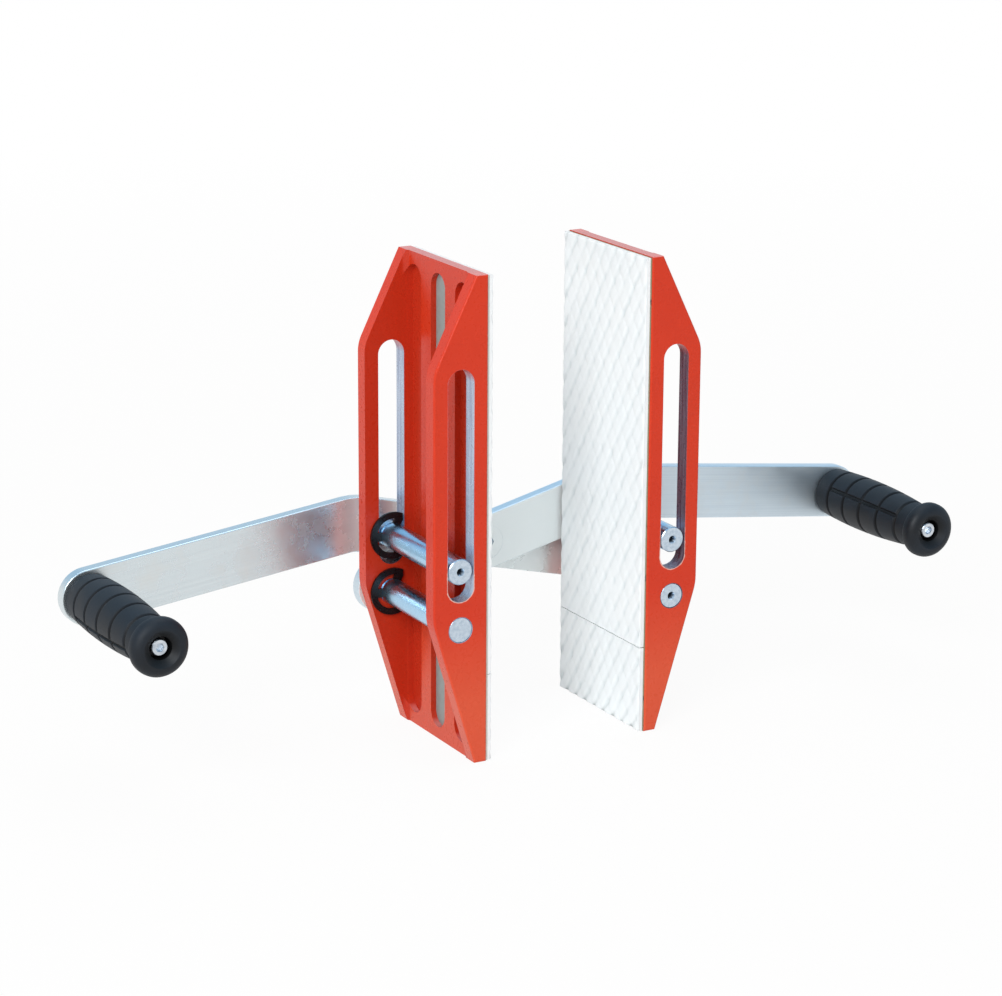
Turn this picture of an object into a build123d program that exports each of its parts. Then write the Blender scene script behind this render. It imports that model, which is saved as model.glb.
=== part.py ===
from build123d import *
from math import asin, cos, degrees, radians, sin, sqrt, tan
import os

# Slab lifting clamp: two channel jaws on two crossed arms, with a grip at each arm's end.
# X runs from the left jaw to the right jaw, Y away from the grips' free ends, Z up.
# Sizes are in millimetres and angles in degrees.

# Jaws
jaw_height = 300.0
jaw_width = 100.0             # over both cheeks
cheek_thickness = 10.0
cheek_depth = 36.0            # from the web's pad side to the cheek's outer edge
cheek_end_depth = 8.0         # what the tapers leave at the top and bottom ends
web_thickness = 7.0
web_corner_radius = 4.0       # inside the channel
upper_shoulder_drop = 2.0     # from the slot's top end down to the upper shoulder
lower_shoulder_rise = 5.5     # from the pivot hole's axis up to the lower shoulder
upper_shoulder_radius = 22.0
lower_shoulder_radius = 32.0
jaw_edge_radius = 1.2
web_slot_width = 18.0
web_end_margin = 7.5          # web left above and below its slot and grooves
web_groove_width = 18.5       # of the groove beside each cheek
web_groove_depth = 4.0

# Facings on the jaws
backing_thickness = 1.0
rib_height = 3.5              # of the backing's rib, into the web's slot
rib_clearance = 0.2
pad_thickness = 3.0
pad_side_inset = 0.8
pad_end_inset = 0.5
pad_joint_height = 55.0       # the line between the lower and the upper pad
pad_joint_gap = 0.5
pad_edge_radius = 0.5

# Scissor linkage
arm_span = 152.0              # from pivot pin to slide pin along an arm
rest_rise = 36.0              # slide pin above pivot pin, as the clamp stands
opening_rise = 30.8           # the same, fully open, where the clips nearly meet
pivot_height = 86.0
pin_offset = 18.0             # from the web's pad side to the pins
slot_low_play = 4.6           # slot left below the slide pin when fully open
slot_high_play = 5.0          # slot left above the slide pin when the pads meet

# Pins, turned from bar
pin_diameter = 16.0
pin_running_clearance = 0.05  # radial, in the pivot holes
slot_play = 1.5               # slot width over the pin
pin_end_recess = 0.3          # pin ends below the near cheek's face
pin_edge_chamfer = 0.5
centre_drill_diameter = 5.0
stud_diameter = 10.0          # threaded ends behind the arms
thread_clearance = 0.05       # radial
thread_end = 2.0              # thread showing past a nut
thread_chamfer = 1.0

# Retaining clips
clip_thickness = 1.5
clip_rim_width = 4.0
clip_prong_width = 5.5
clip_groove_depth = 0.5
clip_outer_margin = 7.0       # clip radius over the pin's
clip_mouth_width = 12.6
clip_prong_angle = 112.0      # from the middle prong to each side prong
clip_clearance = 0.05

# Arms, cut from flat bar
arm_height = 35.0
arm_thickness = 8.0
arm_stand_off = 1.5           # from the far cheek to the front arm
arm_gap = 1.5                 # between the arms
elbow_offset = 14.5           # from the slide pin out to the elbow
elbow_angle = 20.8
elbow_radius = 32.0           # along the bar's middle line
outer_length = 178.3          # from the elbow to the handle
arm_edge_radius = 0.8

# Sleeves, washers and nuts on the pins and handle posts
sleeve_diameter = 19.0
face_clearance = 0.3          # between faces that slide on each other
stud_washer_diameter = 18.0
stud_washer_thickness = 1.6
stud_nut_width = 16.0
stud_nut_height = 8.0

# Pivot where the arms cross
centre_screw_diameter = 12.0
centre_head_diameter = 22.0
centre_head_sink = 0.1        # head below the front arm's face
centre_socket_width = 8.0
centre_socket_depth = 4.0
centre_spacer_diameter = 30.0
centre_washer_diameter = 24.0
centre_washer_thickness = 2.0
centre_nut_width = 18.0
centre_nut_height = 10.0

# Handles
post_diameter = 18.0
post_edge_chamfer = 1.0
grip_length = 111.0
grip_base_radius = 15.6
grip_swell_radius = 17.2
grip_swell_distance = 38.0    # from the arm to the swell
grip_neck_radius = 13.4
grip_flange_radius = 17.8
grip_flange_width = 13.0      # from the neck to the free end
grip_lip_width = 8.5          # of the flange at its full radius, with its rounded front
grip_rim_flat = 0.2           # left between the rounded front and the dish
grip_lip_round = 1.5
grip_neck_round = 1.2
grip_base_round = 2.0
grip_end_wall = 3.0           # rubber held between the screw's washer and the post
grip_recess_radius = 7.0
grip_dish_radius = 11.2
grip_dish_depth = 3.5
grip_bore_clearance = 0.05
grip_groove_start = 16.0      # from the arm to the first groove
grip_groove_end = 10.0        # from the last groove to the neck
grip_groove_count = 5
grip_groove_width = 2.4
grip_groove_depth = 1.4
grip_panel_angle = 9.0        # width of the lengthways grooves, as an angle
left_panel_turn = 197.0       # where the lengthways grooves lie round each grip
right_panel_turn = 152.0

# Grip screws
grip_screw_diameter = 6.0
grip_screw_length = 25.0
grip_screw_head_diameter = 10.0
grip_screw_head_height = 6.0
grip_screw_socket_width = 5.0
grip_screw_socket_depth = 3.0
grip_screw_sink = 1.2         # head below the inner edge of the grip's dish
grip_washer_diameter = 13.0
grip_washer_thickness = 1.6
screw_edge_chamfer = 0.5

# Linkage at rest and at the ends of its travel
half_spread = sqrt(arm_span**2 - rest_rise**2) / 2
arm_angle = degrees(asin(rest_rise / arm_span))
web_face_x = half_spread - pin_offset
facing_thickness = backing_thickness + pad_thickness
closed_half_spread = pin_offset + facing_thickness
closing_rise = sqrt(arm_span**2 - (2 * closed_half_spread) ** 2)
slide_height = pivot_height + rest_rise
slot_low = pivot_height + opening_rise - slot_low_play
slot_high = pivot_height + closing_rise + slot_high_play
slot_width = pin_diameter + slot_play
upper_shoulder = slot_high + slot_width / 2 - upper_shoulder_drop
lower_shoulder = pivot_height + lower_shoulder_rise

# Depths, counted from the middle of the jaws and then moved to centre the whole clamp
stud_stack = stud_washer_thickness + stud_nut_height + thread_end
centre_stack = face_clearance + centre_washer_thickness + centre_nut_height + thread_end
far_face_depth = jaw_width / 2
front_arm_depth = far_face_depth + arm_stand_off
rear_arm_depth = front_arm_depth + arm_thickness + arm_gap
back_depth = rear_arm_depth + arm_thickness + max(stud_stack, centre_stack)
front_depth = min(-jaw_width / 2, front_arm_depth - grip_length)
jaw_mid_y = -(front_depth + back_depth) / 2
near_face_y = jaw_mid_y - jaw_width / 2
far_face_y = jaw_mid_y + far_face_depth
front_arm_y = jaw_mid_y + front_arm_depth
rear_arm_y = jaw_mid_y + rear_arm_depth
channel_width = jaw_width - 2 * cheek_thickness
web_slot_length = jaw_height - 2 * web_end_margin

# Points along an arm, with X counted towards its own handle
elbow_x = half_spread + elbow_offset * cos(radians(arm_angle))
elbow_z = slide_height + elbow_offset * sin(radians(arm_angle))
handle_x = elbow_x + outer_length * cos(radians(arm_angle - elbow_angle))
handle_z = elbow_z + outer_length * sin(radians(arm_angle - elbow_angle))
centre_z = pivot_height + rest_rise / 2

# Clip and grip sizes that follow from the others
pin_radius = pin_diameter / 2
stud_radius = stud_diameter / 2
groove_radius = pin_radius - clip_groove_depth
clip_radius = pin_radius + clip_outer_margin
clip_reach = pin_offset - web_thickness - web_corner_radius  # of the tips, towards the web
clip_y = far_face_y - cheek_thickness - face_clearance - clip_thickness
grip_recess_depth = grip_washer_thickness + grip_screw_head_height + grip_screw_sink
grip_floor = grip_length - grip_dish_depth - grip_recess_depth
post_length = grip_floor - grip_end_wall
grip_neck = grip_length - grip_flange_width
grip_lip = grip_length - grip_lip_width
grip_front_round = min(grip_flange_radius - grip_dish_radius - grip_rim_flat, 0.75 * grip_lip_width)

left, right = -1, 1


def side_plane(side, x, y):
    # Upright sketch plane with its X axis pointing out to the given side
    return Plane(origin=(side * x, y, 0), x_dir=(side, 0, 0), z_dir=(0, -side, 0))


def depth_plane(x, y, z):
    # Upright sketch plane that extrudes towards +Y
    return Plane(origin=(x, y, z), x_dir=(-1, 0, 0), z_dir=(0, 1, 0))


def turning_plane(x, y, z):
    # Half-section plane of a turned piece: radius along X, length along +Y
    return Plane(origin=(x, y, z), x_dir=(1, 0, 0), z_dir=(0, 0, 1))


def turning_axis(x, z):
    return Axis((x, 0, z), (0, 1, 0))


def save(piece, name):
    piece.part.label = name
    export_step(piece.part, f"parts/{name}.step")


def jaw(side):
    plane = side_plane(side, web_face_x, jaw_mid_y)
    with BuildPart() as body:
        with BuildSketch(plane):
            with BuildLine():
                FilletPolyline(
                    (0, 0),
                    (cheek_end_depth, 0),
                    (cheek_depth, lower_shoulder),
                    (cheek_depth, upper_shoulder),
                    (cheek_end_depth, jaw_height),
                    (0, jaw_height),
                    radius=(0, 0, lower_shoulder_radius, upper_shoulder_radius, 0, 0),
                    close=True,
                )
            make_face()
        extrude(amount=jaw_width / 2, both=True)
        outer_faces = body.faces().filter_by(Axis.Y)
        fillet(outer_faces.edges(), jaw_edge_radius)
        # Channel between the cheeks, with rounded inner corners
        channel_depth = cheek_depth - web_thickness
        channel_mid = side * (web_face_x + web_thickness + channel_depth)
        with BuildSketch(Plane.XY):
            with Locations((channel_mid, jaw_mid_y)):
                RectangleRounded(2 * channel_depth, channel_width, web_corner_radius)
        extrude(amount=jaw_height, mode=Mode.SUBTRACT)
        # Slots and pivot holes through both cheeks
        with BuildSketch(plane):
            with Locations((pin_offset, (slot_low + slot_high) / 2)):
                SlotCenterToCenter(slot_high - slot_low, slot_width, rotation=90)
            with Locations((pin_offset, pivot_height)):
                Circle(pin_radius + pin_running_clearance)
        extrude(amount=jaw_width / 2, both=True, mode=Mode.SUBTRACT)
        # Long slot through the web
        with BuildSketch(web_plane(side)):
            SlotOverall(web_slot_length, web_slot_width, rotation=90)
        extrude(amount=web_thickness, mode=Mode.SUBTRACT)
        # A milled groove in the web beside each cheek
        groove_offset = (channel_width - web_groove_width) / 2
        with BuildSketch(web_plane(side).offset(web_thickness - web_groove_depth)):
            with Locations((-groove_offset, 0), (groove_offset, 0)):
                SlotOverall(web_slot_length, web_groove_width, rotation=90)
        extrude(amount=web_groove_depth + web_corner_radius, mode=Mode.SUBTRACT)
    return body


def web_plane(side):
    # Sketch plane on the pad side of the web, facing out through it
    return Plane(
        origin=(side * web_face_x, jaw_mid_y, jaw_height / 2), x_dir=(0, side, 0), z_dir=(side, 0, 0)
    )


def backing(side):
    # Sheet under the pads, with a rib that keys into the web's slot
    with BuildPart() as sheet:
        with BuildSketch(web_plane(side)):
            Rectangle(jaw_width - 2 * pad_side_inset, jaw_height - 2 * pad_end_inset)
        extrude(amount=-backing_thickness)
        with BuildSketch(web_plane(side)):
            SlotOverall(
                web_slot_length - 2 * rib_clearance, web_slot_width - 2 * rib_clearance, rotation=90
            )
        extrude(amount=rib_height)
    return sheet


def pad(side, low, high):
    # Rubber facing from one height to another, its gripping edges rounded
    with BuildPart() as sheet:
        with BuildSketch(web_plane(side).offset(-backing_thickness)):
            with Locations((0, (low + high - jaw_height) / 2)):
                Rectangle(jaw_width - 2 * pad_side_inset, high - low)
        extrude(amount=-pad_thickness)
        fillet(sheet.faces().sort_by(Axis.X)[0 if side > 0 else -1].edges(), pad_edge_radius)
    return sheet


def arm(side, near_y, centre_radius, countersunk):
    plane = side_plane(side, 0, near_y + arm_thickness / 2)
    with BuildPart() as bar:
        with BuildLine(mode=Mode.PRIVATE) as path:
            FilletPolyline(
                (-half_spread, pivot_height),
                (elbow_x, elbow_z),
                (handle_x, handle_z),
                radius=elbow_radius,
            )
        with BuildSketch(plane):
            SlotArc(path.wire(), arm_height)
        extrude(amount=arm_thickness / 2, both=True)
        fillet(bar.faces().filter_by(Axis.Y).edges(), arm_edge_radius)
        with BuildSketch(plane):
            with Locations(
                (-half_spread, pivot_height),
                (half_spread, slide_height),
                (handle_x, handle_z),
            ):
                Circle(stud_radius + thread_clearance)
            with Locations((0, centre_z)):
                Circle(centre_radius)
        extrude(amount=arm_thickness / 2, both=True, mode=Mode.SUBTRACT)
        if countersunk:
            sink_radius = centre_head_diameter / 2 + thread_clearance
            sink_depth = sink_radius + centre_head_sink - centre_radius
            with BuildSketch(turning_plane(0, near_y, centre_z)):
                with BuildLine():
                    Polyline(
                        (0, 0),
                        (sink_radius, 0),
                        (sink_radius, centre_head_sink),
                        (centre_radius, sink_depth),
                        (0, sink_depth),
                        close=True,
                    )
                make_face()
            revolve(axis=turning_axis(0, centre_z), mode=Mode.SUBTRACT)
    return bar


def pin(x, z, arm_y, drilled):
    # Pin through both cheeks, its near end just below the cheek's face, its stud in the arm
    near = near_face_y + pin_end_recess
    end = arm_y + arm_thickness + stud_stack
    groove = clip_y - clip_clearance
    groove_end = clip_y + clip_thickness + clip_clearance
    drill_depth = centre_drill_diameter / 2 * tan(radians(60)) if drilled else 0
    drill_radius = centre_drill_diameter / 2 if drilled else 0
    middle = [(0, near + drill_depth)]
    if drilled:
        middle.append((drill_radius, near))
    with BuildPart() as rod:
        with BuildSketch(turning_plane(x, 0, z)):
            with BuildLine():
                Polyline(
                    *middle,
                    (pin_radius - pin_edge_chamfer, near),
                    (pin_radius, near + pin_edge_chamfer),
                    (pin_radius, groove),
                    (groove_radius, groove),
                    (groove_radius, groove_end),
                    (pin_radius, groove_end),
                    (pin_radius, arm_y),
                    (stud_radius, arm_y),
                    (stud_radius, end - thread_chamfer),
                    (stud_radius - thread_chamfer, end),
                    (0, end),
                    close=True,
                )
            make_face()
        revolve(axis=turning_axis(x, z))
    return rod


def clip(side, x, z):
    # E-shaped retaining clip, pushed on from the open side of the channel
    bite = groove_radius + clip_clearance
    rim_inside = clip_radius - clip_rim_width
    with BuildPart() as ring:
        with BuildSketch(side_plane(side, abs(x), clip_y)):
            with Locations((0, z)):
                Circle(clip_radius)
                Circle(rim_inside, mode=Mode.SUBTRACT)
                for angle in (-clip_prong_angle, 0, clip_prong_angle):
                    with PolarLocations(0, 1, angle):
                        with Locations(((bite + clip_radius - clip_rim_width / 2) / 2, 0)):
                            Rectangle(clip_radius - clip_rim_width / 2 - bite, clip_prong_width)
                Circle(bite, mode=Mode.SUBTRACT)
                with Locations((-clip_radius / 2, 0)):
                    Rectangle(clip_radius, clip_mouth_width, mode=Mode.SUBTRACT)
                with Locations((-clip_reach - clip_radius / 2, 0)):
                    Rectangle(clip_radius, 2 * clip_radius, mode=Mode.SUBTRACT)
        extrude(amount=-side * clip_thickness)
    return ring


def washer(x, y, z, outer_radius, inner_radius, thickness):
    with BuildPart() as ring:
        with BuildSketch(depth_plane(x, y, z)):
            Circle(outer_radius)
            Circle(inner_radius, mode=Mode.SUBTRACT)
        extrude(amount=thickness)
    return ring


def nut(x, y, z, width, height, bore_radius):
    corner = width / 2 / cos(radians(30))
    bevel = (corner - width / 2) * tan(radians(30))
    with BuildPart() as block:
        with BuildSketch(depth_plane(x, y, z)):
            RegularPolygon(width / 2, 6, major_radius=False)
        extrude(amount=height)
        with BuildSketch(turning_plane(x, y, z)):
            with BuildLine():
                Polyline(
                    (bore_radius, 0),
                    (width / 2, 0),
                    (corner, bevel),
                    (corner, height - bevel),
                    (width / 2, height),
                    (bore_radius, height),
                    close=True,
                )
            make_face()
        revolve(axis=turning_axis(x, z), mode=Mode.INTERSECT)
    return block


def centre_screw():
    head_radius = centre_head_diameter / 2
    shank_radius = centre_screw_diameter / 2
    head_y = front_arm_y + centre_head_sink
    end = rear_arm_y + arm_thickness + centre_stack
    with BuildPart() as screw:
        with BuildSketch(turning_plane(0, 0, centre_z)):
            with BuildLine():
                Polyline(
                    (0, head_y),
                    (head_radius, head_y),
                    (shank_radius, head_y + head_radius - shank_radius),
                    (shank_radius, end - thread_chamfer),
                    (shank_radius - thread_chamfer, end),
                    (0, end),
                    close=True,
                )
            make_face()
        revolve(axis=turning_axis(0, centre_z))
        with BuildSketch(depth_plane(0, head_y, centre_z)):
            RegularPolygon(centre_socket_width / 2, 6, major_radius=False)
        extrude(amount=centre_socket_depth, mode=Mode.SUBTRACT)
    return screw


def handle_plane(side, arm_y):
    # Half-section plane of a handle: radius along X, length from the arm towards the free end
    return Plane(origin=(side * handle_x, arm_y, handle_z), x_dir=(1, 0, 0), z_dir=(0, 0, -1))


def handle_post(side, arm_y):
    radius = post_diameter / 2
    end = arm_thickness + stud_stack
    screw_reach = grip_screw_length - grip_end_wall - grip_washer_thickness
    hole_radius = grip_screw_diameter / 2 + thread_clearance
    with BuildPart() as post:
        with BuildSketch(handle_plane(side, arm_y)):
            with BuildLine():
                Polyline(
                    (0, -end),
                    (stud_radius - thread_chamfer, -end),
                    (stud_radius, thread_chamfer - end),
                    (stud_radius, 0),
                    (radius, 0),
                    (radius, post_length - post_edge_chamfer),
                    (radius - post_edge_chamfer, post_length),
                    (hole_radius, post_length),
                    (hole_radius, post_length - screw_reach - thread_end),
                    (0, post_length - screw_reach - thread_end),
                    close=True,
                )
            make_face()
        revolve(axis=turning_axis(side * handle_x, handle_z))
    return post


def barrel_radius(distance):
    # Radius of the grip's barrel, on a parabola through its base, its swell and its neck
    points = (
        (0, grip_base_radius),
        (grip_swell_distance, grip_swell_radius),
        (grip_neck, grip_neck_radius),
    )
    total = 0
    for place, radius in points:
        for other, _ in points:
            if other != place:
                radius *= (distance - other) / (place - other)
        total += radius
    return total


def grip(side, arm_y, panel_turn):
    axis = turning_axis(side * handle_x, handle_z)
    plane = handle_plane(side, arm_y)
    bore = post_diameter / 2 + grip_bore_clearance
    screw_bore = grip_screw_diameter / 2 + thread_clearance
    first = grip_groove_start
    last = grip_neck - grip_groove_end
    pitch = (last - first) / (grip_groove_count - 1)
    with BuildPart() as sleeve:
        with BuildSketch(plane) as section:
            with BuildLine():
                base = Line((bore, 0), (grip_base_radius, 0))
                barrel = ThreePointArc(
                    base @ 1, (grip_swell_radius, grip_swell_distance), (grip_neck_radius, grip_neck)
                )
                Polyline(
                    barrel @ 1,
                    (grip_flange_radius, grip_lip),
                    (grip_flange_radius, grip_length),
                    (grip_dish_radius, grip_length),
                    (grip_recess_radius, grip_length - grip_dish_depth),
                    (grip_recess_radius, grip_floor),
                    (screw_bore, grip_floor),
                    (screw_bore, post_length),
                    (bore, post_length),
                    base @ 0,
                )
            make_face()
            for corner, radius in (
                ((grip_flange_radius, grip_length), grip_front_round),
                ((grip_flange_radius, grip_lip), grip_lip_round),
                ((grip_neck_radius, grip_neck), grip_neck_round),
                ((grip_base_radius, 0), grip_base_round),
            ):
                fillet(section.vertices().sort_by_distance(corner)[0], radius)
        revolve(axis=axis)
        # Grooves round the barrel
        for step in range(grip_groove_count):
            distance = first + step * pitch
            with BuildSketch(plane):
                with Locations((barrel_radius(distance), distance)):
                    Rectangle(2 * grip_groove_depth, grip_groove_width)
            revolve(axis=axis, mode=Mode.SUBTRACT)
        # Lengthways grooves between the first groove and the last
        bed_points = []
        for distance in (first, (first + last) / 2, last):
            bed_points.append((barrel_radius(distance) - grip_groove_depth, distance))
        for turn in (panel_turn, panel_turn + 180):
            with BuildSketch(plane.rotated((0, -turn - grip_panel_angle / 2, 0))):
                with BuildLine():
                    bed = ThreePointArc(*bed_points)
                    Polyline(
                        bed @ 1,
                        (grip_flange_radius, last),
                        (grip_flange_radius, first),
                        bed @ 0,
                    )
                make_face()
            revolve(axis=axis, revolution_arc=grip_panel_angle, mode=Mode.SUBTRACT)
    return sleeve


def grip_screw(side, arm_y):
    plane = handle_plane(side, arm_y)
    head_start = grip_floor + grip_washer_thickness
    head_end = head_start + grip_screw_head_height
    head_radius = grip_screw_head_diameter / 2
    shank_radius = grip_screw_diameter / 2
    tip = head_start - grip_screw_length
    with BuildPart() as screw:
        with BuildSketch(plane):
            with BuildLine():
                Polyline(
                    (0, tip),
                    (shank_radius - screw_edge_chamfer, tip),
                    (shank_radius, tip + screw_edge_chamfer),
                    (shank_radius, head_start),
                    (head_radius, head_start),
                    (head_radius, head_end - screw_edge_chamfer),
                    (head_radius - screw_edge_chamfer, head_end),
                    (0, head_end),
                    close=True,
                )
            make_face()
        revolve(axis=turning_axis(side * handle_x, handle_z))
        with BuildSketch(depth_plane(side * handle_x, arm_y - head_end, handle_z)):
            RegularPolygon(grip_screw_socket_width / 2, 6, major_radius=False)
        extrude(amount=grip_screw_socket_depth, mode=Mode.SUBTRACT)
    return screw


os.makedirs("parts", exist_ok=True)

# Jaws and their facings
joint_low = pad_joint_height - pad_joint_gap / 2
joint_high = pad_joint_height + pad_joint_gap / 2
for side, word in ((left, "left"), (right, "right")):
    save(jaw(side), f"{word}_jaw")
    save(backing(side), f"{word}_pad_backing")
    save(pad(side, pad_end_inset, joint_low), f"{word}_lower_pad")
    save(pad(side, joint_high, jaw_height - pad_end_inset), f"{word}_upper_pad")

# Arms: the right one lies against the jaws, the left one behind it
centre_radius = centre_screw_diameter / 2
save(arm(right, front_arm_y, centre_radius + thread_clearance, True), "right_arm")
save(arm(left, rear_arm_y, centre_radius + pin_running_clearance, False), "left_arm")

# Pins with their clips, sleeves, washers and nuts
pins = (
    ("left_pivot", -half_spread, pivot_height, front_arm_y, False),
    ("right_slide", half_spread, slide_height, front_arm_y, True),
    ("right_pivot", half_spread, pivot_height, rear_arm_y, True),
    ("left_slide", -half_spread, slide_height, rear_arm_y, True),
)
stud_bore = stud_radius + thread_clearance
stud_washer_radius = stud_washer_diameter / 2
sleeve_y = far_face_y + face_clearance
for name, x, z, arm_y, drilled in pins:
    back = arm_y + arm_thickness
    save(pin(x, z, arm_y, drilled), f"{name}_pin")
    save(clip(left if x < 0 else right, x, z), f"{name}_clip")
    sleeve = washer(x, sleeve_y, z, sleeve_diameter / 2, pin_radius + thread_clearance, arm_y - sleeve_y)
    save(sleeve, f"{name}_spacer")
    save(washer(x, back, z, stud_washer_radius, stud_bore, stud_washer_thickness), f"{name}_washer")
    nut_y = back + stud_washer_thickness
    save(nut(x, nut_y, z, stud_nut_width, stud_nut_height, stud_bore), f"{name}_nut")

# Pivot where the arms cross
centre_bore = centre_radius + thread_clearance
spacer_y = front_arm_y + arm_thickness
washer_y = rear_arm_y + arm_thickness + face_clearance
save(centre_screw(), "centre_screw")
spacer_radius = centre_spacer_diameter / 2
save(washer(0, spacer_y, centre_z, spacer_radius, centre_bore, arm_gap - face_clearance), "centre_spacer")
washer_radius = centre_washer_diameter / 2
save(washer(0, washer_y, centre_z, washer_radius, centre_bore, centre_washer_thickness), "centre_washer")
nut_y = washer_y + centre_washer_thickness
save(nut(0, nut_y, centre_z, centre_nut_width, centre_nut_height, centre_bore), "centre_nut")

# Handles
for side, word, arm_y, turn in (
    (left, "left", rear_arm_y, left_panel_turn),
    (right, "right", front_arm_y, right_panel_turn),
):
    x = side * handle_x
    back = arm_y + arm_thickness
    save(handle_post(side, arm_y), f"{word}_handle_post")
    back_washer = washer(x, back, handle_z, stud_washer_radius, stud_bore, stud_washer_thickness)
    save(back_washer, f"{word}_post_washer")
    nut_y = back + stud_washer_thickness
    save(nut(x, nut_y, handle_z, stud_nut_width, stud_nut_height, stud_bore), f"{word}_post_nut")
    save(grip(side, arm_y, turn), f"{word}_grip")
    washer_y = arm_y - grip_floor - grip_washer_thickness
    screw_bore = grip_screw_diameter / 2 + thread_clearance
    seat = washer(x, washer_y, handle_z, grip_washer_diameter / 2, screw_bore, grip_washer_thickness)
    save(seat, f"{word}_grip_washer")
    save(grip_screw(side, arm_y), f"{word}_grip_screw")
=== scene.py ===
import math

import bmesh
import bpy
import numpy as np
from mathutils import Matrix, Vector


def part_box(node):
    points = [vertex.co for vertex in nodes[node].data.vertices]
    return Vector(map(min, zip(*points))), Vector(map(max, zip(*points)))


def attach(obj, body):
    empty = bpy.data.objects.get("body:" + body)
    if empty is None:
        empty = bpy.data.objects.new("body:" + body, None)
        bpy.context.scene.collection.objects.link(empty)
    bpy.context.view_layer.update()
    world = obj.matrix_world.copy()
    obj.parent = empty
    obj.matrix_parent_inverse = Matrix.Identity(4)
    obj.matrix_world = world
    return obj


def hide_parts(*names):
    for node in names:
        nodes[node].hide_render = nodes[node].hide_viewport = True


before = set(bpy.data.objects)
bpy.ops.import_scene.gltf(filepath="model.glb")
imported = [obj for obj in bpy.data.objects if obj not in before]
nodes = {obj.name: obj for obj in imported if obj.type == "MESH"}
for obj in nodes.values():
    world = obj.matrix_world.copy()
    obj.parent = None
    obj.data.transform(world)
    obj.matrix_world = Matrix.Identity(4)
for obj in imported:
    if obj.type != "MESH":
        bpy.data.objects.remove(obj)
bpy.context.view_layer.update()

mm = 0.001                                # everything in the scene is in metres
sharpAngle = math.radians(50)             # edges steeper than this stay crisp
scene = bpy.context.scene
print("frame loaded:", len(nodes), "CAD nodes")


def linearColour(hexText):
    parts = [int(hexText[i:i + 2], 16) / 255 for i in (1, 3, 5)]
    return [p / 12.92 if p <= 0.04045 else ((p + 0.055) / 1.055) ** 2.4 for p in parts] + [1.0]


def perGrain(size):                       # texture scale for a feature of this many mm
    return 1.0 / (size * mm)


def fillInputs(tree, node, inputs):
    for key, value in inputs.items():
        if isinstance(value, bpy.types.NodeSocket):
            tree.links.new(value, node.inputs[key])
        else:
            node.inputs[key].default_value = value
    return node


# A Mix node's sockets go by number: colours in at 6 and 7, out at 2; plain values in at 2 and 3, out at 0
def addNode(tree, kind, inputs=None, **settings):
    node = tree.nodes.new("ShaderNode" + kind)
    for name, value in settings.items():
        setattr(node, name, value)
    return fillInputs(tree, node, inputs or {})


def startFinish(name):
    material = bpy.data.materials.new(name)
    material.use_nodes = True
    tree = material.node_tree
    tree.nodes.clear()
    shader = addNode(tree, "BsdfPrincipled")
    addNode(tree, "OutputMaterial", {"Surface": shader.outputs[0]})
    place = addNode(tree, "TexCoord").outputs["Object"]   # the CAD frame's metres, carried along by each body
    return material, tree, shader, place


def glossAndRelief(tree, values, patchy, height):   # gloss from one pattern, fine relief from another
    gloss = addNode(tree, "MapRange", {"Value": patchy, "From Min": 0.3, "From Max": 0.7,
                                       "To Min": values["gloss"][0],
                                       "To Max": values["gloss"][1]}).outputs[0]
    bump = addNode(tree, "Bump", {"Height": height, "Strength": values["reliefShare"],
                                  "Distance": values["reliefDepth"] * mm}).outputs[0]
    return gloss, bump


# Powder-coated steel, sprayed dry and baked: a fine orange peel, an even colour and a soft gloss.
# The slide pins have rubbed the coat off the slot walls, down to grey steel, and worn the slots' low rims
# on the near cheeks pale pink, which is partly a painted edge highlight.
# The slots' top ends, which they never reach, keep most of it. The right jaw's slot walls are darker and
# browner.
# Painted shade: the inside of a channel is painted a deeper red. Painted highlight: faces that look up are
# painted pale pink. Painted light: warm light from the floor is painted in as a more orange red on the feet.
coat = {
    "red": "#dd3c1c", "redDeep": "#cf3419", "redChannelShade": "#c3341c", "redFloorBounce": "#e05636",
    "rubbed": "#efc3b6", "dust": "#eeb4b2", "topHighlightShare": 0.4, "bounceFrom": 38.0, "bounceTo": 92.0,
    "steel": "#bdcadc", "steelDark": "#8e9bb7", "bareMetal": 0.45, "rightWallDark": "#6a3d4e",
    "rightWallDarkShare": (0.95, 0.6),          # in the dark and in the pale streaks
    "clipShade": "#1c191b", "clipShadeTop": 116.0, "clipShadeFade": 6.0, "clipShadeShare": 0.9,
    "toneSize": 38.0, "scuffSize": 3.2, "streakAcross": 1.8, "streakAlong": 60.0,
    "peel": 1.7, "peelDepth": 0.03, "peelShare": 0.16, "gloss": (0.25, 0.34),
    "pinX": 73.84, "slotLow": 112.2, "slotHigh": 236.5, "slotHalf": 8.75, "pivotZ": 86.0, "pivotHalf": 8.05,
    "wallEdge": (0.03, 0.08), "sparedRise": 6.0, "sparedBare": 0.3,
    "wornTop": 150.0, "wornReach": 1.5, "rimEdge": (-0.45, -0.02), "rimWearAndHighlightShare": 0.85,
    "padSideX": 56.5, "cheekInner": 40.1, "midY": -11.9,
    "landX": 62.84, "landReach": 0.1,     # the painted channel shade is lighter on the web's flat land than in its grooves
    "landShadeShare": 0.3,
}


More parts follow.
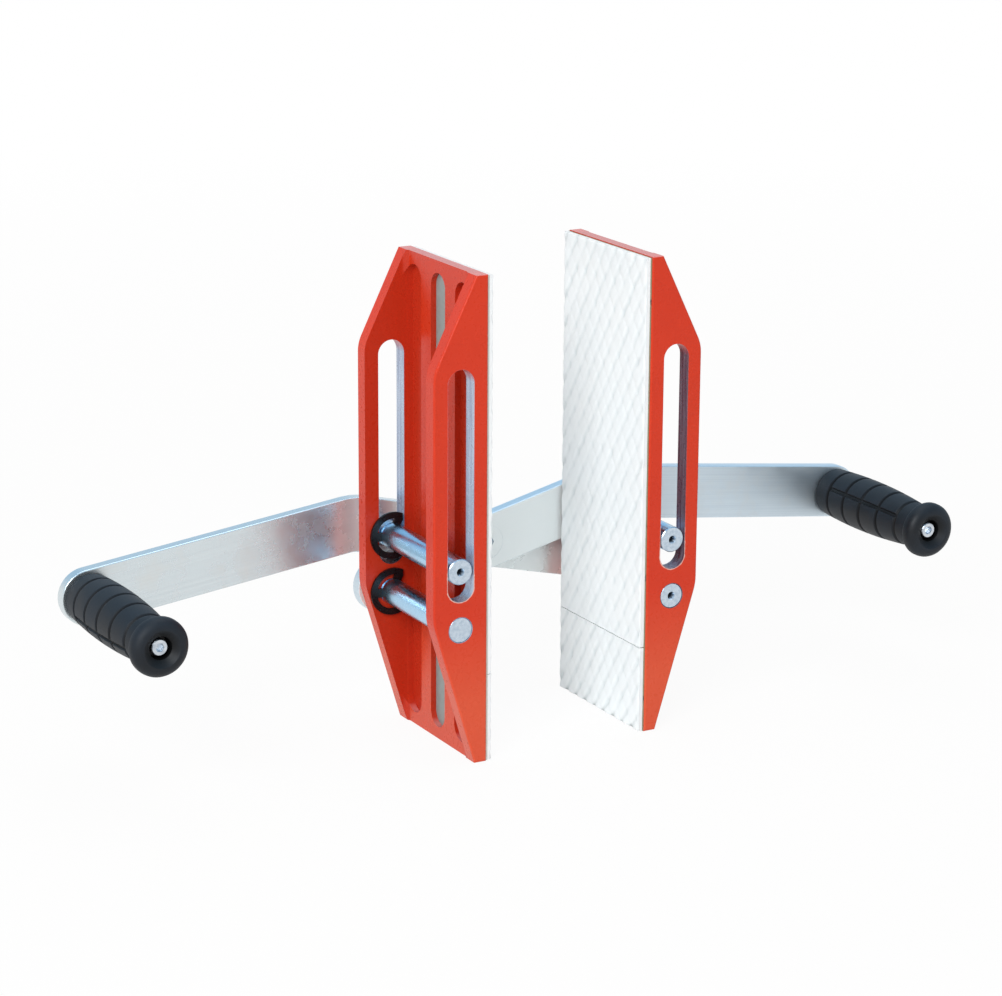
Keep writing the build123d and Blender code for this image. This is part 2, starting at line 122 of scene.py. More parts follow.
def powderCoat():
    material, tree, shader, place = startFinish("powderCoatedSteelRed")
    x, y, z = addNode(tree, "SeparateXYZ", {0: place}).outputs
    side = addNode(tree, "Math", {0: x}, operation="ABSOLUTE").outputs[0]
    across = addNode(tree, "Math", {0: side, 1: coat["pinX"] * mm}, operation="SUBTRACT").outputs[0]
    near = addNode(tree, "Clamp", {"Value": z, "Min": coat["slotLow"] * mm,
                                   "Max": coat["slotHigh"] * mm}).outputs[0]
    slotRise = addNode(tree, "Math", {0: z, 1: near}, operation="SUBTRACT").outputs[0]
    holeRise = addNode(tree, "Math", {0: z, 1: coat["pivotZ"] * mm}, operation="SUBTRACT").outputs[0]
    edges = []                            # distance outside the slot and outside the pivot hole
    for rise, half in ((slotRise, coat["slotHalf"]), (holeRise, coat["pivotHalf"])):
        offset = addNode(tree, "CombineXYZ", {0: across, 2: rise}).outputs[0]
        reach = addNode(tree, "VectorMath", {0: offset}, operation="LENGTH").outputs["Value"]
        edges.append(addNode(tree, "Math", {0: reach, 1: half * mm}, operation="SUBTRACT").outputs[0])
    edge = addNode(tree, "Math", {0: edges[0], 1: edges[1]}, operation="MINIMUM").outputs[0]
    wallFrom, wallTo = coat["wallEdge"]
    bare = addNode(tree, "MapRange", {"Value": edge, "From Min": wallFrom * mm, "From Max": wallTo * mm,
                                      "To Min": 1.0, "To Max": 0.0}).outputs[0]
    spared = addNode(tree, "MapRange", {"Value": z, "From Min": coat["slotHigh"] * mm,
                                        "From Max": (coat["slotHigh"] + coat["sparedRise"]) * mm,
                                        "To Min": 1.0, "To Max": coat["sparedBare"]}).outputs[0]
    bare = addNode(tree, "Math", {0: bare, 1: spared}, operation="MULTIPLY").outputs[0]

    scuff = addNode(tree, "TexNoise", {"Vector": place, "Scale": perGrain(coat["scuffSize"]),
                                       "Detail": 3.0}).outputs[0]
    worn = addNode(tree, "MapRange", {"Value": z, "From Min": coat["slotLow"] * mm,
                                      "From Max": coat["wornTop"] * mm,
                                      "To Min": coat["wornReach"] * mm, "To Max": 0.0}).outputs[0]
    worn = addNode(tree, "Math", {0: scuff, 1: worn}, operation="MULTIPLY").outputs[0]
    chipped = addNode(tree, "Math", {0: edges[0], 1: worn}, operation="SUBTRACT").outputs[0]
    # partly wear, partly painted edge highlight: a pale pink rim round the near cheeks' low slot ends
    rimFrom, rimTo = coat["rimEdge"]
    rim = addNode(tree, "MapRange", {"Value": chipped, "From Min": rimFrom * mm, "From Max": rimTo * mm,
                                     "To Min": coat["rimWearAndHighlightShare"], "To Max": 0.0}).outputs[0]
    offMid = addNode(tree, "Math", {0: y, 1: coat["midY"] * mm}, operation="SUBTRACT").outputs[0]
    nearCheek = addNode(tree, "Math", {0: offMid, 1: 0.0}, operation="LESS_THAN").outputs[0]
    rim = addNode(tree, "Math", {0: rim, 1: nearCheek}, operation="MULTIPLY").outputs[0]
    offMid = addNode(tree, "Math", {0: offMid}, operation="ABSOLUTE").outputs[0]
    # painted shade: inside the channel, between the cheeks and behind the pad side, the red is painted deeper
    between = addNode(tree, "Math", {0: offMid, 1: coat["cheekInner"] * mm},
                      operation="LESS_THAN").outputs[0]
    behind = addNode(tree, "Math", {0: side, 1: coat["padSideX"] * mm}, operation="GREATER_THAN").outputs[0]
    channelShade = addNode(tree, "Math", {0: between, 1: behind}, operation="MULTIPLY").outputs[0]
    land = addNode(tree, "Math", {0: side, 1: coat["landX"] * mm, 2: coat["landReach"] * mm},
                   operation="COMPARE").outputs[0]
    land = addNode(tree, "MapRange", {"Value": land, "To Min": 1.0, "To Max": coat["landShadeShare"]}).outputs[0]
    channelShade = addNode(tree, "Math", {0: channelShade, 1: land}, operation="MULTIPLY").outputs[0]

    tone = addNode(tree, "TexNoise", {"Vector": place, "Scale": perGrain(coat["toneSize"]),
                                      "Detail": 4.0, "Roughness": 0.6}).outputs[0]
    paint = addNode(tree, "Mix", {0: tone, 6: linearColour(coat["redDeep"]), 7: linearColour(coat["red"])},
                    data_type="RGBA").outputs[2]
    paint = addNode(tree, "Mix", {0: channelShade, 6: paint, 7: linearColour(coat["redChannelShade"])},
                    data_type="RGBA").outputs[2]
    outside = addNode(tree, "Math", {0: 1.0, 1: channelShade}, operation="SUBTRACT").outputs[0]
    # painted light: warm light from the floor, painted as a more orange red low on the outside faces
    low = addNode(tree, "MapRange", {"Value": z, "From Min": coat["bounceFrom"] * mm,
                                     "From Max": coat["bounceTo"] * mm,
                                     "To Min": 1.0, "To Max": 0.0}).outputs[0]
    low = addNode(tree, "Math", {0: low, 1: outside}, operation="MULTIPLY").outputs[0]
    paint = addNode(tree, "Mix", {0: low, 6: paint, 7: linearColour(coat["redFloorBounce"])},
                    data_type="RGBA").outputs[2]
    # painted highlight: faces that look up are painted pale pink
    normal = addNode(tree, "NewGeometry").outputs["Normal"]
    upward = addNode(tree, "SeparateXYZ", {0: normal}).outputs[2]
    topHighlight = addNode(tree, "MapRange", {"Value": upward, "From Min": 0.6, "From Max": 0.95,
                                       "To Max": coat["topHighlightShare"]}).outputs[0]
    paint = addNode(tree, "Mix", {0: topHighlight, 6: paint, 7: linearColour(coat["dust"])},
                    data_type="RGBA").outputs[2]
    paint = addNode(tree, "Mix", {0: rim, 6: paint, 7: linearColour(coat["rubbed"])},
                    data_type="RGBA").outputs[2]

    drawn = addNode(tree, "Mapping", {0: place, "Scale": (
        perGrain(coat["streakAcross"]), perGrain(coat["streakAcross"]), perGrain(coat["streakAlong"]))})
    streak = addNode(tree, "TexNoise", {"Vector": drawn.outputs[0], "Scale": 1.0,
                                        "Detail": 3.0, "Roughness": 0.65}).outputs[0]
    streak = addNode(tree, "MapRange", {"Value": streak, "From Min": 0.3, "From Max": 0.58}).outputs[0]
    steel = addNode(tree, "Mix", {0: streak, 6: linearColour(coat["steelDark"]),
                                  7: linearColour(coat["steel"])}, data_type="RGBA").outputs[2]
    # the right jaw's slot walls are mixed towards a dark maroon, in streaks
    onRight = addNode(tree, "Math", {0: x, 1: 0.0}, operation="GREATER_THAN").outputs[0]
    inDark, inPale = coat["rightWallDarkShare"]
    rightDark = addNode(tree, "MapRange", {"Value": streak, "To Min": inDark, "To Max": inPale}).outputs[0]
    rightDark = addNode(tree, "Math", {0: rightDark, 1: onRight}, operation="MULTIPLY").outputs[0]
    steel = addNode(tree, "Mix", {0: rightDark, 6: steel, 7: linearColour(coat["rightWallDark"])},
                    data_type="RGBA").outputs[2]
    # painted shade: the far cheeks' slot walls below the clips are painted near black
    clipShadeFrom = coat["clipShadeTop"] - coat["clipShadeFade"]
    clipShaded = addNode(tree, "MapRange", {"Value": z, "From Min": clipShadeFrom * mm,
                                         "From Max": coat["clipShadeTop"] * mm,
                                         "To Min": coat["clipShadeShare"], "To Max": 0.0}).outputs[0]
    clipShaded = addNode(tree, "Math", {0: clipShaded, 1: nearCheek}, operation="SUBTRACT",
                      use_clamp=True).outputs[0]          # painted shade below the clips, on the far cheeks' slot feet only
    steel = addNode(tree, "Mix", {0: clipShaded, 6: steel, 7: linearColour(coat["clipShade"])},
                    data_type="RGBA").outputs[2]
    colour = addNode(tree, "Mix", {0: bare, 6: paint, 7: steel}, data_type="RGBA").outputs[2]
    metal = addNode(tree, "Math", {0: bare, 1: coat["bareMetal"]}, operation="MULTIPLY").outputs[0]

    gloss = addNode(tree, "MapRange", {"Value": scuff, "From Min": 0.3, "From Max": 0.75,
                                       "To Min": coat["gloss"][0], "To Max": coat["gloss"][1]}).outputs[0]
    peel = addNode(tree, "TexNoise", {"Vector": place, "Scale": perGrain(coat["peel"]),
                                      "Detail": 1.5}).outputs[0]
    bump = addNode(tree, "Bump", {"Height": peel, "Strength": coat["peelShare"],
                                  "Distance": coat["peelDepth"] * mm}).outputs[0]
    fillInputs(tree, shader, {"Base Color": colour, "Metallic": metal, "Roughness": gloss, "Normal": bump,
                              "IOR": 1.5, "Specular IOR Level": 0.25})
    return material


# Zinc-plated flat bar, cold drawn and plated: pale blue-grey satin with very faint draw lines and a cloudy
# passivation that shows as patches of different gloss. Painted light: the halves between the jaws, which the
# jaws shade, are painted near white and made less metallic. Each arm has its own tint and gloss.
bar = {
    "left": {"pale": "#d6dfe2", "dark": "#cfd8dc", "warm": "#dadcd9", "rubbedFrom": 112.0,
             "gloss": (0.21, 0.33)},
    "right": {"pale": "#d5e2ea", "dark": "#cbd9e3", "warm": "#d8dee0", "rubbedFrom": 165.0,
              "gloss": (0.36, 0.48)},
    "warmShare": 0.6, "bloom": "#f4f9f8", "paleLightShare": 0.85, "paleLightMetal": 0.3, "rubbedMetal": 0.92,
    "elbowX": 87.9, "elbowSoft": 4.0, "innerTilt": 13.7, "outerTilt": -7.1,
    "armsBack": 58.0,                     # behind this the centre screw's end shows, with no painted light
    "lineAcross": 1.1, "lineAlong": 120.0,   # draw lines are finer in life, and coarse here so that they show
    "cloudSize": 18.0, "spangle": 2.4, "lineShare": 0.5, "reliefDepth": 0.03, "reliefShare": 0.06,
}


def platedBar(name, tint, lean):          # lean is +1 where the arm's outer half runs to the right
    material, tree, shader, place = startFinish(name)
    x, y = addNode(tree, "SeparateXYZ", {0: place}).outputs[:2]
    past = addNode(tree, "Math", {0: x, 1: lean}, operation="MULTIPLY").outputs[0]
    outer = addNode(tree, "MapRange", {"Value": past, "From Min": (bar["elbowX"] - bar["elbowSoft"]) * mm,
                                       "From Max": (bar["elbowX"] + bar["elbowSoft"]) * mm}).outputs[0]
    lines = []                            # one set along each half of the arm
    for tilt in (bar["innerTilt"], bar["outerTilt"]):
        laid = addNode(tree, "Mapping", {0: place, "Rotation": (0.0, math.radians(tilt) * lean, 0.0)})
        fine = addNode(tree, "Mapping", {0: laid.outputs[0], "Scale": (
            perGrain(bar["lineAlong"]), perGrain(bar["lineAcross"]), perGrain(bar["lineAcross"]))})
        lines.append(addNode(tree, "TexNoise", {"Vector": fine.outputs[0], "Scale": 1.0, "Detail": 4.0,
                                                "Roughness": 0.6}).outputs[0])
    line = addNode(tree, "Mix", {0: outer, 2: lines[0], 3: lines[1]}).outputs[0]
    cloud = addNode(tree, "TexNoise", {"Vector": place, "Scale": perGrain(bar["cloudSize"]),
                                       "Detail": 5.0, "Roughness": 0.62}).outputs[0]
    grain = addNode(tree, "TexNoise", {"Vector": place, "Scale": perGrain(bar["spangle"]),
                                       "Detail": 2.0}).outputs[0]
    shade = addNode(tree, "MapRange", {"Value": line, "From Min": 0.25, "From Max": 0.6}).outputs[0]
    colour = addNode(tree, "Mix", {0: shade, 6: linearColour(tint["dark"]), 7: linearColour(tint["pale"])},
                     data_type="RGBA").outputs[2]
    patch = addNode(tree, "MapRange", {"Value": cloud, "From Min": 0.5, "From Max": 0.72,
                                       "To Max": bar["warmShare"]}).outputs[0]
    colour = addNode(tree, "Mix", {0: patch, 6: colour, 7: linearColour(tint["warm"])},
                     data_type="RGBA").outputs[2]
    normal = addNode(tree, "NewGeometry").outputs["Normal"]
    flat = addNode(tree, "SeparateXYZ", {0: normal}).outputs[1]
    flat = addNode(tree, "Math", {0: flat}, operation="ABSOLUTE").outputs[0]
    flat = addNode(tree, "MapRange", {"Value": flat, "From Min": 0.75, "From Max": 0.95}).outputs[0]
    onArm = addNode(tree, "Math", {0: y, 1: bar["armsBack"] * mm}, operation="LESS_THAN").outputs[0]
    flat = addNode(tree, "Math", {0: flat, 1: onArm}, operation="MULTIPLY").outputs[0]
    # painted light: the flat faces of the halves between the jaws are painted near white and made less
    # metallic
    bloom = addNode(tree, "MapRange", {"Value": outer, "To Min": bar["paleLightShare"],
                                       "To Max": 0.0}).outputs[0]
    bloom = addNode(tree, "Math", {0: bloom, 1: flat}, operation="MULTIPLY").outputs[0]
    colour = addNode(tree, "Mix", {0: bloom, 6: colour, 7: linearColour(bar["bloom"])},
                     data_type="RGBA").outputs[2]
    metal = addNode(tree, "MapRange", {"Value": past, "From Min": bar["elbowX"] * mm,
                                       "From Max": tint["rubbedFrom"] * mm, "To Min": bar["paleLightMetal"],
                                       "To Max": bar["rubbedMetal"]}).outputs[0]
    metal = addNode(tree, "Mix", {0: flat, 2: 1.0, 3: metal}).outputs[0]
    height = addNode(tree, "Math", {0: line, 1: bar["lineShare"], 2: grain},
                     operation="MULTIPLY_ADD").outputs[0]
    gloss, bump = glossAndRelief(tree, bar | tint, cloud, height)
    fillInputs(tree, shader, {"Base Color": colour, "Metallic": metal, "Roughness": gloss, "Normal": bump})
    return material


# Zinc-plated turned steel, blue passivated: bright blue shanks with fine tool rings, paler mottled ends
# that were faced off, painted shade in the drillings, and a rolled thread on the studs behind the arms.
turned = {
    "pale": "#b4d8f0", "dark": "#a8cde8", "endPale": "#c9d6e2", "endDark": "#b4c4d3", "drill": "#30363e",
    "ring": 0.7, "ringAround": 40.0,      # tool rings are finer in life, and coarse here so that they show
    "reliefDepth": 0.02, "reliefShare": 0.12, "gloss": (0.22, 0.32), "cloudSize": 9.0, "mottle": 2.2,
    "endY": -56.0, "threadFrom": 40.5, "threadFade": 0.2, "threadDepth": 0.5,
    "crestHalf": 1.5,                     # half the thread's spacing, about twice life so that it shows
    "drills": ((-73.84, 122.0), (73.84, 122.0), (73.84, 86.0)), "drillRadius": 2.5, "drillShadeShare": 0.9,
}


def turnedZinc():
    material, tree, shader, place = startFinish("zincPlatedTurnedSteel")
    around = perGrain(turned["ringAround"])
    along = addNode(tree, "Mapping", {0: place, "Scale": (around, perGrain(turned["ring"]), around)})
    ring = addNode(tree, "TexNoise", {"Vector": along.outputs[0], "Scale": 1.0, "Detail": 2.0,
                                      "Roughness": 0.6}).outputs[0]
    cloud = addNode(tree, "TexNoise", {"Vector": place, "Scale": perGrain(turned["cloudSize"]),
                                       "Detail": 3.0}).outputs[0]
    x, depth, z = addNode(tree, "SeparateXYZ", {0: place}).outputs
    wave = addNode(tree, "Math", {0: depth, 1: turned["crestHalf"] * mm}, operation="PINGPONG").outputs[0]
    wave = addNode(tree, "MapRange", {"Value": wave, "From Max": turned["crestHalf"] * mm}).outputs[0]
    threadFull = turned["threadFrom"] + turned["threadFade"]
    threaded = addNode(tree, "MapRange", {"Value": depth, "From Min": turned["threadFrom"] * mm,
                                          "From Max": threadFull * mm}).outputs[0]
    colour = addNode(tree, "Mix", {0: ring, 6: linearColour(turned["dark"]),
                                   7: linearColour(turned["pale"])}, data_type="RGBA").outputs[2]
    mottle = addNode(tree, "TexNoise", {"Vector": place, "Scale": perGrain(turned["mottle"]),
                                        "Detail": 3.0}).outputs[0]
    mottle = addNode(tree, "MapRange", {"Value": mottle, "From Min": 0.35, "From Max": 0.6}).outputs[0]
    faced = addNode(tree, "Mix", {0: mottle, 6: linearColour(turned["endDark"]),
                                  7: linearColour(turned["endPale"])}, data_type="RGBA").outputs[2]
    atEnd = addNode(tree, "Math", {0: depth, 1: turned["endY"] * mm}, operation="LESS_THAN").outputs[0]
    atEnd = addNode(tree, "Math", {0: atEnd, 1: threaded}, operation="MAXIMUM").outputs[0]
    colour = addNode(tree, "Mix", {0: atEnd, 6: colour, 7: faced}, data_type="RGBA").outputs[2]
    flat = addNode(tree, "CombineXYZ", {0: x, 2: z}).outputs[0]
    drill = None                          # distance from the nearest drilled pin's axis
    for pinX, pinZ in turned["drills"]:
        away = addNode(tree, "VectorMath", {0: flat, 1: (pinX * mm, 0.0, pinZ * mm)},
                       operation="DISTANCE").outputs["Value"]
        drill = away if drill is None else addNode(tree, "Math", {0: drill, 1: away},
                                                   operation="MINIMUM").outputs[0]
    # painted shade: the drillings in the pins' near ends are painted dark
    drill = addNode(tree, "MapRange", {"Value": drill, "From Min": 0.5 * turned["drillRadius"] * mm,
                                       "From Max": turned["drillRadius"] * mm,
                                       "To Min": turned["drillShadeShare"], "To Max": 0.0}).outputs[0]
    nearEnd = addNode(tree, "Math", {0: depth, 1: 0.0}, operation="LESS_THAN").outputs[0]
    drill = addNode(tree, "Math", {0: drill, 1: nearEnd}, operation="MULTIPLY").outputs[0]
    colour = addNode(tree, "Mix", {0: drill, 6: colour, 7: linearColour(turned["drill"])},
                     data_type="RGBA").outputs[2]
    gloss, fine = glossAndRelief(tree, turned, cloud, ring)
    bump = addNode(tree, "Bump", {"Height": wave, "Strength": threaded,
                                  "Distance": turned["threadDepth"] * mm, "Normal": fine}).outputs[0]
    fillInputs(tree, shader, {"Base Color": colour, "Metallic": 1.0, "Roughness": gloss, "Normal": bump})
    return material


# Zinc-plated fasteners, barrel plated in bulk: a softer gloss, tiny dents and greyer patches.
fastener = {"pale": "#d6dce2", "dark": "#b3bcc6", "dent": 1.6, "cloudSize": 4.0, "gloss": (0.24, 0.36),
            "reliefDepth": 0.03, "reliefShare": 0.2}


def barrelZinc():
    material, tree, shader, place = startFinish("zincPlatedFastenerSteel")
    dent = addNode(tree, "TexNoise", {"Vector": place, "Scale": perGrain(fastener["dent"]),
                                      "Detail": 2.5}).outputs[0]
    cloud = addNode(tree, "TexNoise", {"Vector": place, "Scale": perGrain(fastener["cloudSize"]),
                                       "Detail": 4.0}).outputs[0]
    shade = addNode(tree, "MapRange", {"Value": cloud, "From Min": 0.3, "From Max": 0.6}).outputs[0]
    colour = addNode(tree, "Mix", {0: shade, 6: linearColour(fastener["dark"]),
                                   7: linearColour(fastener["pale"])}, data_type="RGBA").outputs[2]
    gloss, bump = glossAndRelief(tree, fastener, dent, dent)
    fillInputs(tree, shader, {"Base Color": colour, "Metallic": 1.0, "Roughness": gloss, "Normal": bump})
    return material


# Spring steel, stamped, hardened and blacked in oil: near black with a wet gloss and faint grey specks.
spring = {"black": "#0b0b0d", "grey": "#1d1e21", "grain": 1.1, "gloss": (0.24, 0.4),
          "reliefDepth": 0.03, "reliefShare": 0.2}


def blackedSpring():
    material, tree, shader, place = startFinish("oilBlackedSpringSteel")
    grain = addNode(tree, "TexNoise", {"Vector": place, "Scale": perGrain(spring["grain"]),
                                       "Detail": 3.0}).outputs[0]
    shade = addNode(tree, "MapRange", {"Value": grain, "From Min": 0.45, "From Max": 0.75}).outputs[0]
    colour = addNode(tree, "Mix", {0: shade, 6: linearColour(spring["black"]),
                                   7: linearColour(spring["grey"])}, data_type="RGBA").outputs[2]
    gloss, bump = glossAndRelief(tree, spring, grain, grain)
    fillInputs(tree, shader, {"Base Color": colour, "Roughness": gloss, "Normal": bump, "IOR": 1.6,
                              "Specular IOR Level": 0.3})
    return material


# Black rubber, compression moulded: matt charcoal with a fine mould grain and a faint bluish bloom on the
# lands; painted shade makes the grooves and end dish near black. The grain is coarser than life so that it
# shows.
gripRubber = {"black": "#101419", "dusty": "#1a222b", "bed": "#060708", "grain": 0.9, "dustSize": 22.0,
              "gloss": (0.46, 0.6), "reliefDepth": 0.06, "reliefShare": 0.35}


def mouldedRubber():
    material, tree, shader, place = startFinish("mouldedBlackRubber")
    grain = addNode(tree, "TexNoise", {"Vector": place, "Scale": perGrain(gripRubber["grain"]),
                                       "Detail": 3.0, "Roughness": 0.6}).outputs[0]
    dust = addNode(tree, "TexNoise", {"Vector": place, "Scale": perGrain(gripRubber["dustSize"]),
                                      "Detail": 5.0, "Roughness": 0.65}).outputs[0]
    hollow = addNode(tree, "Attribute", attribute_name="hollow").outputs["Fac"]
    bloom = addNode(tree, "MapRange", {"Value": dust, "From Min": 0.35, "From Max": 0.7}).outputs[0]
    colour = addNode(tree, "Mix", {0: bloom, 6: linearColour(gripRubber["black"]),
                                   7: linearColour(gripRubber["dusty"])}, data_type="RGBA").outputs[2]
    # painted shade: the grooves and the end dish are painted near black
    colour = addNode(tree, "Mix", {0: hollow, 6: colour, 7: linearColour(gripRubber["bed"])},
                     data_type="RGBA").outputs[2]
    gloss, bump = glossAndRelief(tree, gripRubber, dust, grain)
    fillInputs(tree, shader, {"Base Color": colour, "Roughness": gloss, "Normal": bump, "IOR": 1.52,
                              "Specular IOR Level": 0.28})
    return material


# Aluminium sheet with its mill finish, behind the rubber: dull grey with a soft sheen, dimmed by a film of
# contact glue, pale at the left cut edges and stained olive at the right ones, with a few dark specks of
# glue squeezed out along the right.
sheet = {
    "grey": "#8b9795", "pale": "#a3adab", "edge": "#cbcac3", "stained": "#958d71", "glue": "#55504b",
    "grain": 3.0, "reliefDepth": 0.05, "reliefShare": 0.25, "gloss": (0.42, 0.6), "sheen": 0.2,
    "beadSize": 6.0, "rimWidth": 2.0, "halfWidth": 49.2, "midY": -11.9, "ribFrom": 55.95, "ribFade": 0.1,
}


def gluedSheet():
    material, tree, shader, place = startFinish("millFinishAluminiumGlued")
    x, y = addNode(tree, "SeparateXYZ", {0: place}).outputs[:2]
    mid = addNode(tree, "Math", {0: y, 1: sheet["midY"] * mm}, operation="SUBTRACT").outputs[0]
    mid = addNode(tree, "Math", {0: mid}, operation="ABSOLUTE").outputs[0]
    rim = addNode(tree, "MapRange", {"Value": mid, "From Min": (sheet["halfWidth"] - sheet["rimWidth"]) * mm,
                                     "From Max": sheet["halfWidth"] * mm}).outputs[0]
    bead = addNode(tree, "TexNoise", {"Vector": place, "Scale": perGrain(sheet["beadSize"]),
                                      "Detail": 4.0, "Roughness": 0.6}).outputs[0]
    bead = addNode(tree, "MapRange", {"Value": bead, "From Min": 0.58, "From Max": 0.7}).outputs[0]
    glue = addNode(tree, "Math", {0: rim, 1: bead}, operation="MULTIPLY").outputs[0]
    right = addNode(tree, "Math", {0: x, 1: 0.0}, operation="GREATER_THAN").outputs[0]
    glue = addNode(tree, "Math", {0: glue, 1: right}, operation="MULTIPLY").outputs[0]
    grain = addNode(tree, "TexNoise", {"Vector": place, "Scale": perGrain(sheet["grain"]),
                                       "Detail": 4.0}).outputs[0]
    colour = addNode(tree, "Mix", {0: grain, 6: linearColour(sheet["grey"]), 7: linearColour(sheet["pale"])},
                     data_type="RGBA").outputs[2]
    side = addNode(tree, "Math", {0: x}, operation="ABSOLUTE").outputs[0]
    rib = addNode(tree, "MapRange", {"Value": side, "From Min": (sheet["ribFrom"] - sheet["ribFade"]) * mm,
                                     "From Max": sheet["ribFrom"] * mm}).outputs[0]
    edge = addNode(tree, "Mix", {0: right, 6: linearColour(sheet["edge"]),
                                 7: linearColour(sheet["stained"])}, data_type="RGBA").outputs[2]
    colour = addNode(tree, "Mix", {0: rib, 6: edge, 7: colour}, data_type="RGBA").outputs[2]
    colour = addNode(tree, "Mix", {0: glue, 6: colour, 7: linearColour(sheet["glue"])},
                     data_type="RGBA").outputs[2]
    gloss, bump = glossAndRelief(tree, sheet, grain, grain)
    fillInputs(tree, shader, {"Base Color": colour, "Metallic": sheet["sheen"], "Roughness": gloss,
                              "Normal": bump})
    return material


# White natural rubber, calendered with a lozenge emboss: bright matt white, faintly grey where dust settles
# in the grooves, with a few rubbed smudges from stone. The grain is coarser than life so that it shows.
rubber = {
    "white": "#f9fafa", "cool": "#f1f7fa", "coolSize": 60.0, "groove": "#e4eaec", "grooveTop": 0.6,
    "grime": "#a3aaab", "smudge": "#dfe2e1", "smudgeSize": 26.0, "smudgeShare": 0.7,
    "grain": 0.8, "reliefDepth": 0.05, "reliefShare": 0.25, "gloss": (0.6, 0.75),
}


def embossedRubber():
    material, tree, shader, place = startFinish("calenderedWhiteRubber")
    relief = addNode(tree, "Attribute", attribute_name="relief").outputs["Fac"]
    low = addNode(tree, "MapRange", {"Value": relief, "From Min": 0.0, "From Max": rubber["grooveTop"],
                                     "To Min": 1.0, "To Max": 0.0}).outputs[0]
    cloud = addNode(tree, "TexNoise", {"Vector": place, "Scale": perGrain(rubber["coolSize"]),
                                       "Detail": 3.0}).outputs[0]
    colour = addNode(tree, "Mix", {0: cloud, 6: linearColour(rubber["white"]),
                                   7: linearColour(rubber["cool"])}, data_type="RGBA").outputs[2]
    colour = addNode(tree, "Mix", {0: low, 6: colour, 7: linearColour(rubber["groove"])},
                     data_type="RGBA").outputs[2]
    # painted shade: the grooves along the facings' edges are painted grey
    grime = addNode(tree, "Attribute", attribute_name="grime").outputs["Fac"]
    colour = addNode(tree, "Mix", {0: grime, 6: colour, 7: linearColour(rubber["grime"])},
                     data_type="RGBA").outputs[2]
    rub = addNode(tree, "TexNoise", {"Vector": place, "Scale": perGrain(rubber["smudgeSize"]),
                                     "Detail": 6.0, "Roughness": 0.68}).outputs[0]
    rub = addNode(tree, "MapRange", {"Value": rub, "From Min": 0.62, "From Max": 0.78,
                                     "To Max": rubber["smudgeShare"]}).outputs[0]
    colour = addNode(tree, "Mix", {0: rub, 6: colour, 7: linearColour(rubber["smudge"])},
                     data_type="RGBA").outputs[2]
    grain = addNode(tree, "TexNoise", {"Vector": place, "Scale": perGrain(rubber["grain"]),
                                       "Detail": 2.0}).outputs[0]
    gloss, bump = glossAndRelief(tree, rubber, grain, grain)
    fillInputs(tree, shader, {"Base Color": colour, "Roughness": gloss, "Normal": bump, "IOR": 1.5})
    return material


finishes = {                              # by the start of the CAD material's name
    "red_coat": powderCoat(), "grey_backing": gluedSheet(), "white_rubber": embossedRubber(),
    "zinc_turned": turnedZinc(), "zinc_fastener": barrelZinc(),
    "black_spring_steel": blackedSpring(), "black_rubber": mouldedRubber(),
}
armFinish = {"left_arm": platedBar("zincPlatedBarLeft", bar["left"], -1.0),
             "right_arm": platedBar("zincPlatedBarRight", bar["right"], 1.0)}
armFinish["centre_screw"] = armFinish["right_arm"]   # its countersunk head lies flush in that arm
print("finishes ready:", len(finishes) + len(set(armFinish.values())))

for name, piece in nodes.items():
    held = piece.data.materials[0].name if piece.data.materials else ""
    key = next((k for k in finishes if held.startswith(k)), None)
    finish = armFinish.get(name) or finishes.get(key)
    if finish is None:
        print("no finish for", name, held)
        continue
    piece.data.materials.clear()
    piece.data.materials.append(finish)
print("CAD nodes finished")


def addPiece(name, mesh, slot, body, cadNode):
    mesh.shade_smooth()
    mesh.set_sharp_from_angle(angle=sharpAngle)
    mesh.materials.append(finishes[slot])
    piece = bpy.data.objects.new(name, mesh)
    scene.collection.objects.link(piece)
    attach(piece, body)
    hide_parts(cadNode)


def addShares(mesh, name, values):        # one number a vertex, for a material to read
    attribute = mesh.attributes.new(name, "FLOAT", "POINT")
    attribute.data.foreach_set("value", values.astype(np.float32))


# Rubber facings: one embossed slab for each CAD pad, inside that pad's space
facing = {
    "pitch": 11.5, "rowRise": 9.0,        # lozenge width, and half its height
    "grooveDepth": (0.58, 0.21), "grooveHalf": (3.3, 2.4), "crossShare": 0.8, "crown": 0.1, "deepest": 1.25,
    "worn": 0.9,                          # slabs bear on the upper facings, which are worn flatter
    "wander": 0.28, "wanderSize": 17.0, "uneven": 0.3, "unevenSize": 13.0,
    "edgeShadeReach": 2.2, "sideShade": 0.45, "edgeShadeDepth": 0.7,
    "edgeRound": 0.45, "edgeReach": 1.2, "jointRound": 0.08, "jointReach": 0.8,
    "jointRelief": 0.35, "jointFade": 2.5,   # the emboss is pressed flatter beside the joint
    "ragged": 0.18, "raggedSpread": 9, "raggedFadeY": 8, "raggedFadeZ": 40,
    "reliefSpan": 0.95, "skirtRelief": 0.9, "step": 0.8, "seed": 11,
}


def reliefDepth(u, v):                    # mm below the facing's top
    depth = np.zeros_like(u)
    lean = math.hypot(facing["pitch"] / 2, facing["rowRise"])
    spacing = facing["pitch"] * facing["rowRise"] / lean
    for way, deep, half in zip((1, -1), facing["grooveDepth"], facing["grooveHalf"]):
        turn = (u - way * v * facing["pitch"] / 2 / facing["rowRise"]) / facing["pitch"] + 0.5
        off = np.abs(turn - np.round(turn)) * spacing
        groove = np.where(off < half, 0.5 + 0.5 * np.cos(np.pi * np.minimum(off / half, 1)), 0.0) * deep
        depth = np.maximum(depth, groove) + facing["crossShare"] * np.minimum(depth, groove)
        depth += facing["crown"] * (1 - off / (spacing / 2)) ** 2
    return np.minimum(depth, facing["deepest"])


